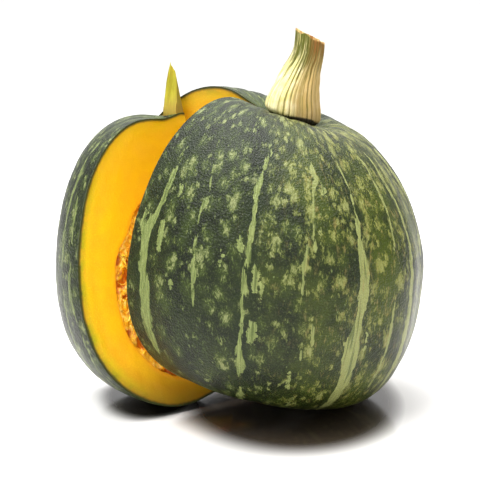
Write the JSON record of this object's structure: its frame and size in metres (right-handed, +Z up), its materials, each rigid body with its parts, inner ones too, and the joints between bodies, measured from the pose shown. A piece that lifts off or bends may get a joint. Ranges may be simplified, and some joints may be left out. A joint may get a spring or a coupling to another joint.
{
  "type": "kabocha squash",
  "caption": "Round, shallow-ribbed winter squash with a corky stem, standing upright, a wedge cut out and drawn aside to show thick flesh and a seed hollow.",
  "frame": {"origin": "on the surface the two pieces stand on, below the middle of the bounding box", "axes": "+Z up along the stem, -X from the big piece towards the wedge, -Y towards the side where the wedge's broad near cut face shows"},
  "size_m": [0.2044, 0.1787, 0.2056],
  "materials": {
    "body_rind_and_flesh": "hard dark green rind with a dull sheen, moist orange flesh on the cut",
    "wedge_rind_and_flesh": "hard dark green rind with a dull sheen, moist orange flesh on the cut",
    "stem": "dry ridged cream cork",
    "stem_sliver": "fresh cut yellow green fibre",
    "body_pulp": "moist stringy orange pulp with pale seeds",
    "wedge_pulp": "moist stringy orange pulp with pale seeds"
  },
  "bodies": {
    "root": {"squash_body": "body_rind_and_flesh", "squash_stem": "stem", "squash_pulp": "body_pulp", "wedge_body": "wedge_rind_and_flesh", "wedge_stem": "stem_sliver", "wedge_pulp": "wedge_pulp"}
  },
  "joints": []
}
